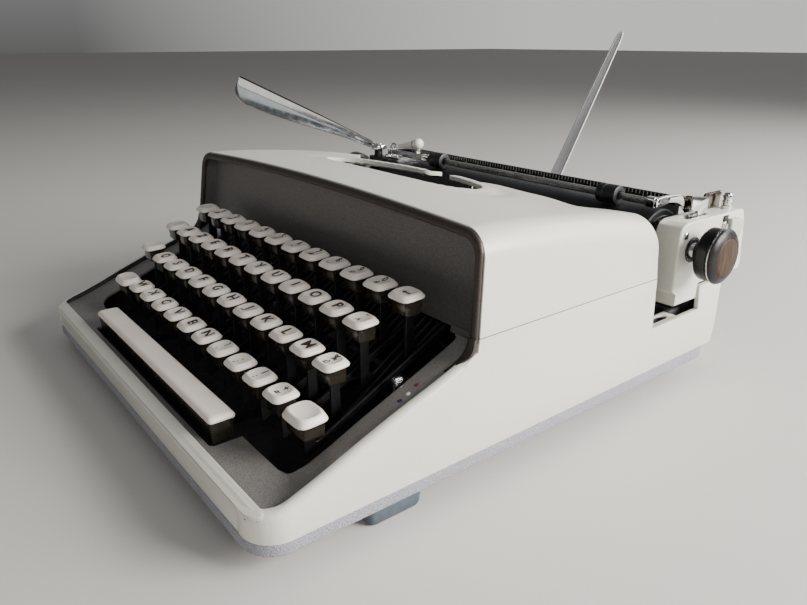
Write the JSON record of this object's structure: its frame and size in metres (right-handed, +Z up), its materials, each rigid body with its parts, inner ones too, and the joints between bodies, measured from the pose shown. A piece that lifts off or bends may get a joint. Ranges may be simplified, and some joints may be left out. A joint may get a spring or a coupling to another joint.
{
  "type": "typewriter",
  "caption": "Portable manual typewriter with a cream casing, dark front panel, four rows of square keys, long space bar and a sliding carriage with a platen.",
  "frame": {"origin": "centre of the bounding box in plan, on the surface that the feet stand on", "axes": "+X to the typist's right along the platen, +Y away from the typist, +Z up"},
  "size_m": [0.343, 0.3306, 0.1914],
  "materials": {
    "shell_cream": "satin cream moulding, finely mottled",
    "base_strip": "pale lavender-grey wrinkle paint",
    "rubber_feet": "matt blue-grey rubber",
    "panel_dark": "dark warm grey metallic paint",
    "apron_grey": "grey metallic paint, fine grain",
    "key_cap": "cream moulded caps over brown skirts",
    "chassis_steel": "blackened and plated steel",
    "lever_black": "black enamel",
    "chrome": "bright plated",
    "bright_steel": "brushed bright steel",
    "black_plastic": "black moulding, satin",
    "platen_rubber": "hard black rubber, ground",
    "brass": "plain brass",
    "table_grey": "grey metallic enamel",
    "thumb_plate": "pale greenish moulding"
  },
  "bodies": {
    "body": {"base_pan": "base_strip", "lower_case": "shell_cream", "top_cover": "shell_cream", "front_panel": "panel_dark", "keyboard_apron": "apron_grey", "foot_front_left": "rubber_feet", "foot_front_right": "rubber_feet", "foot_rear_left": "rubber_feet", "foot_rear_right": "rubber_feet", "main_frame": "lever_black", "key_lever_frame": "lever_black", "margin_bell": "brass"},
    "key_margin_release": {"key_margin_release": "key_cap"},
    "keys_number_row_left": {"keys_number_row_left": "key_cap"},
    "keys_number_row_right": {"keys_number_row_right": "key_cap"},
    "key_backspace": {"key_backspace": "key_cap"},
    "key_tabulator": {"key_tabulator": "key_cap"},
    "keys_upper_row_left": {"keys_upper_row_left": "key_cap"},
    "keys_upper_row_right": {"keys_upper_row_right": "key_cap"},
    "key_shift_lock": {"key_shift_lock": "key_cap"},
    "keys_home_row_left": {"keys_home_row_left": "key_cap"},
    "key_center": {"key_center": "key_cap"},
    "keys_home_row_right": {"keys_home_row_right": "key_cap"},
    "key_shift_left": {"key_shift_left": "key_cap"},
    "keys_lower_row_left": {"keys_lower_row_left": "key_cap"},
    "keys_lower_row_right": {"keys_lower_row_right": "key_cap"},
    "key_shift_right": {"key_shift_right": "key_cap"},
    "space_bar": {"space_bar": "key_cap"},
    "type_basket": {"type_segment": "chassis_steel", "type_bars": "bright_steel"},
    "center_type_bar": {"center_type_bar": "bright_steel"},
    "ribbon_vibrator": {"ribbon_vibrator": "bright_steel"},
    "ribbon_spool_left": {"ribbon_spool_left": "black_plastic"},
    "ribbon_spool_right": {"ribbon_spool_right": "black_plastic"},
    "ribbon_selector": {"ribbon_selector": "chrome"},
    "carriage": {"carriage_frame": "lever_black", "end_cap_right": "shell_cream", "end_cap_left": "shell_cream", "paper_table": "table_grey", "margin_rail": "chassis_steel"},
    "mainspring_drum": {"mainspring_drum": "chassis_steel"},
    "escapement_wheel": {"escapement_wheel": "brass"},
    "platen": {"platen_roller": "platen_rubber", "platen_shaft": "bright_steel", "knob_right": "black_plastic", "knob_left": "black_plastic", "ratchet_wheel": "bright_steel"},
    "feed_roller": {"feed_roller": "platen_rubber"},
    "paper_bail": {"paper_bail": "chrome", "bail_handle": "shell_cream"},
    "bail_roller_left": {"bail_roller_left": "platen_rubber"},
    "bail_roller_right": {"bail_roller_right": "platen_rubber"},
    "return_lever": {"return_lever": "chrome"},
    "line_space_selector": {"line_space_selector": "chrome"},
    "paper_release_lever": {"paper_release_lever": "chrome"},
    "carriage_release_right": {"carriage_release_right": "thumb_plate"},
    "carriage_release_left": {"carriage_release_left": "thumb_plate"},
    "paper_support": {"paper_support": "chrome"},
    "margin_stop_left": {"margin_stop_left": "chrome"},
    "margin_stop_right": {"margin_stop_right": "chrome"}
  },
  "joints": [
    {"name": "carriage_travel", "type": "slide", "parent": "body", "child": "carriage", "axis": [1, 0, 0], "range_m": [-0.1, 0.1]},
    {"name": "platen_turn", "type": "hinge", "parent": "carriage", "child": "platen", "pos_m": [0.009, 0.09537, 0.081], "axis": [1, 0, 0], "continuous": true},
    {"name": "return_lever_swing", "type": "hinge", "parent": "carriage", "child": "return_lever", "pos_m": [-0.111, 0.07987, 0.1075], "axis": [0, 0, 1], "range_deg": [0, 30], "stiffness_Nm_per_rad": 0.3, "springref_deg": -5.73},
    {"name": "bail_lift", "type": "hinge", "parent": "carriage", "child": "paper_bail", "pos_m": [0.009, 0.11837, 0.097], "axis": [-1, 0, 0], "range_deg": [0, 55]},
    {"name": "paper_support_fold", "type": "hinge", "parent": "carriage", "child": "paper_support", "pos_m": [0.0274, 0.12087, 0.088], "axis": [0, -0.9201, 0.3916], "range_deg": [0, 98]},
    {"name": "space_bar_press", "type": "hinge", "parent": "body", "child": "space_bar", "pos_m": [0.009, -0.04213, 0.0178], "axis": [1, 0, 0], "range_deg": [0, 3.2], "stiffness_Nm_per_rad": 1.2, "springref_deg": -3.44},
    {"name": "key_center_press", "type": "hinge", "parent": "body", "child": "key_center", "pos_m": [0.009, -0.02113, 0.039], "axis": [1, 0, 0], "range_deg": [0, 6.6], "stiffness_Nm_per_rad": 0.5, "springref_deg": -6.88},
    {"name": "key_shift_left_press", "type": "hinge", "parent": "body", "child": "key_shift_left", "pos_m": [0.009, -0.02113, 0.0295], "axis": [1, 0, 0], "range_deg": [0, 4.8], "stiffness_Nm_per_rad": 0.6, "springref_deg": -5.73},
    {"name": "key_margin_release_press", "type": "hinge", "parent": "body", "child": "key_margin_release", "pos_m": [0.009, -0.02113, 0.058], "axis": [1, 0, 0], "range_deg": [0, 11.4], "stiffness_Nm_per_rad": 0.25, "springref_deg": -5.73},
    {"name": "keys_number_row_left_press", "type": "hinge", "parent": "body", "child": "keys_number_row_left", "pos_m": [0.009, -0.02113, 0.058], "axis": [1, 0, 0], "range_deg": [0, 11.4], "stiffness_Nm_per_rad": 0.6, "springref_deg": -6.88},
    {"name": "keys_number_row_right_press", "type": "hinge", "parent": "body", "child": "keys_number_row_right", "pos_m": [0.009, -0.02113, 0.058], "axis": [1, 0, 0], "range_deg": [0, 11.4], "stiffness_Nm_per_rad": 0.6, "springref_deg": -6.88},
    {"name": "key_backspace_press", "type": "hinge", "parent": "body", "child": "key_backspace", "pos_m": [0.009, -0.02113, 0.058], "axis": [1, 0, 0], "range_deg": [0, 11.4], "stiffness_Nm_per_rad": 0.25, "springref_deg": -5.73},
    {"name": "key_tabulator_press", "type": "hinge", "parent": "body", "child": "key_tabulator", "pos_m": [0.009, -0.02113, 0.0485], "axis": [1, 0, 0], "range_deg": [0, 8.4], "stiffness_Nm_per_rad": 0.25, "springref_deg": -5.73},
    {"name": "keys_upper_row_left_press", "type": "hinge", "parent": "body", "child": "keys_upper_row_left", "pos_m": [0.009, -0.02113, 0.0485], "axis": [1, 0, 0], "range_deg": [0, 8.4], "stiffness_Nm_per_rad": 0.6, "springref_deg": -6.88},
    {"name": "keys_upper_row_right_press", "type": "hinge", "parent": "body", "child": "keys_upper_row_right", "pos_m": [0.009, -0.02113, 0.0485], "axis": [1, 0, 0], "range_deg": [0, 8.4], "stiffness_Nm_per_rad": 0.6, "springref_deg": -6.88},
    {"name": "key_shift_lock_press", "type": "hinge", "parent": "body", "child": "key_shift_lock", "pos_m": [0.009, -0.02113, 0.039], "axis": [1, 0, 0], "range_deg": [0, 6.6], "stiffness_Nm_per_rad": 0.25, "springref_deg": -5.73},
    {"name": "keys_home_row_left_press", "type": "hinge", "parent": "body", "child": "keys_home_row_left", "pos_m": [0.009, -0.02113, 0.039], "axis": [1, 0, 0], "range_deg": [0, 6.6], "stiffness_Nm_per_rad": 0.6, "springref_deg": -6.88},
    {"name": "keys_home_row_right_press", "type": "hinge", "parent": "body", "child": "keys_home_row_right", "pos_m": [0.009, -0.02113, 0.039], "axis": [1, 0, 0], "range_deg": [0, 6.6], "stiffness_Nm_per_rad": 0.6, "springref_deg": -6.88},
    {"name": "keys_lower_row_left_press", "type": "hinge", "parent": "body", "child": "keys_lower_row_left", "pos_m": [0.009, -0.02113, 0.0295], "axis": [1, 0, 0], "range_deg": [0, 5.4], "stiffness_Nm_per_rad": 0.6, "springref_deg": -6.88},
    {"name": "keys_lower_row_right_press", "type": "hinge", "parent": "body", "child": "keys_lower_row_right", "pos_m": [0.009, -0.02113, 0.0295], "axis": [1, 0, 0], "range_deg": [0, 5.4], "stiffness_Nm_per_rad": 0.6, "springref_deg": -6.88},
    {"name": "ribbon_selector_swing", "type": "hinge", "parent": "body", "child": "ribbon_selector", "pos_m": [0.1285, -0.08593, 0.024], "axis": [1, 0, 0], "range_deg": [-8.5, 8.5]},
    {"name": "release_press_right", "type": "hinge", "parent": "carriage", "child": "carriage_release_right", "pos_m": [0.151, 0.12487, 0.0892], "axis": [-1, 0, 0], "range_deg": [0, 6], "stiffness_Nm_per_rad": 0.05, "springref_deg": -5.73},
    {"name": "release_press_left", "type": "hinge", "parent": "carriage", "child": "carriage_release_left", "pos_m": [-0.133, 0.12487, 0.0892], "axis": [-1, 0, 0], "range_deg": [0, 6], "stiffness_Nm_per_rad": 0.05, "springref_deg": -5.73},
    {"name": "paper_release_swing", "type": "hinge", "parent": "carriage", "child": "paper_release_lever", "pos_m": [0.143, 0.11387, 0.0967], "axis": [-1, 0, 0], "range_deg": [0, 12]},
    {"name": "margin_stop_left_slide", "type": "slide", "parent": "carriage", "child": "margin_stop_left", "axis": [1, 0, 0], "range_m": [-0.02, 0.085]},
    {"name": "margin_stop_right_slide", "type": "slide", "parent": "carriage", "child": "margin_stop_right", "axis": [1, 0, 0], "range_m": [-0.085, 0.02]},
    {"name": "line_space_select", "type": "hinge", "parent": "carriage", "child": "line_space_selector", "pos_m": [-0.101, 0.08247, 0.1017], "axis": [0, 0, 1], "range_deg": [-20, 8]},
    {"name": "ribbon_spool_left_turn", "type": "hinge", "parent": "body", "child": "ribbon_spool_left", "pos_m": [-0.086, 0.00287, 0.088], "axis": [0, 0, 1], "continuous": true},
    {"name": "ribbon_spool_right_turn", "type": "hinge", "parent": "body", "child": "ribbon_spool_right", "pos_m": [0.104, 0.00287, 0.088], "axis": [0, 0, 1], "continuous": true},
    {"name": "key_shift_right_press", "type": "hinge", "parent": "body", "child": "key_shift_right", "pos_m": [0.009, -0.02113, 0.0295], "axis": [1, 0, 0], "range_deg": [0, 4.8]},
    {"name": "type_basket_shift", "type": "slide", "parent": "body", "child": "type_basket", "axis": [0, 0, -1], "range_m": [0, 0.006], "stiffness_N_per_m": 400, "springref_m": -0.008},
    {"name": "center_type_bar_swing", "type": "hinge", "parent": "type_basket", "child": "center_type_bar", "pos_m": [0.009, 0.04487, 0.042], "axis": [-1, 0, 0], "range_deg": [0, 109]},
    {"name": "ribbon_vibrator_lift", "type": "slide", "parent": "type_basket", "child": "ribbon_vibrator", "axis": [0, 0, 1], "range_m": [0, 0.008]},
    {"name": "mainspring_turn", "type": "hinge", "parent": "body", "child": "mainspring_drum", "pos_m": [-0.086, 0.09687, 0.024], "axis": [0, 0, 1], "range_deg": [-300, 300]},
    {"name": "escapement_turn", "type": "hinge", "parent": "body", "child": "escapement_wheel", "pos_m": [0.019, 0.09687, 0.03], "axis": [0, 0, 1], "range_deg": [-600, 600]},
    {"name": "feed_roller_turn", "type": "hinge", "parent": "carriage", "child": "feed_roller", "pos_m": [0.009, 0.08627, 0.0602], "axis": [1, 0, 0], "continuous": true},
    {"name": "bail_roller_left_turn", "type": "hinge", "parent": "paper_bail", "child": "bail_roller_left", "pos_m": [-0.048, 0.08787, 0.104], "axis": [1, 0, 0], "continuous": true},
    {"name": "bail_roller_right_turn", "type": "hinge", "parent": "paper_bail", "child": "bail_roller_right", "pos_m": [0.101, 0.08787, 0.104], "axis": [1, 0, 0], "continuous": true}
  ],
  "couplings": [
    {"joint": "ribbon_spool_right_turn", "follows": "ribbon_spool_left_turn", "ratio": 1},
    {"joint": "key_shift_right_press", "follows": "key_shift_left_press", "ratio": 1},
    {"joint": "type_basket_shift", "follows": "key_shift_left_press", "m_per_rad": 0.0715},
    {"joint": "center_type_bar_swing", "follows": "key_center_press", "ratio": 16.2},
    {"joint": "ribbon_vibrator_lift", "follows": "key_center_press", "m_per_rad": 0.069363},
    {"joint": "mainspring_turn", "follows": "carriage_travel", "rad_per_m": 50},
    {"joint": "escapement_turn", "follows": "carriage_travel", "rad_per_m": 100},
    {"joint": "feed_roller_turn", "follows": "platen_turn", "ratio": -4.1364},
    {"joint": "bail_roller_left_turn", "follows": "platen_turn", "ratio": -3.3091},
    {"joint": "bail_roller_right_turn", "follows": "platen_turn", "ratio": -3.3091}
  ]
}
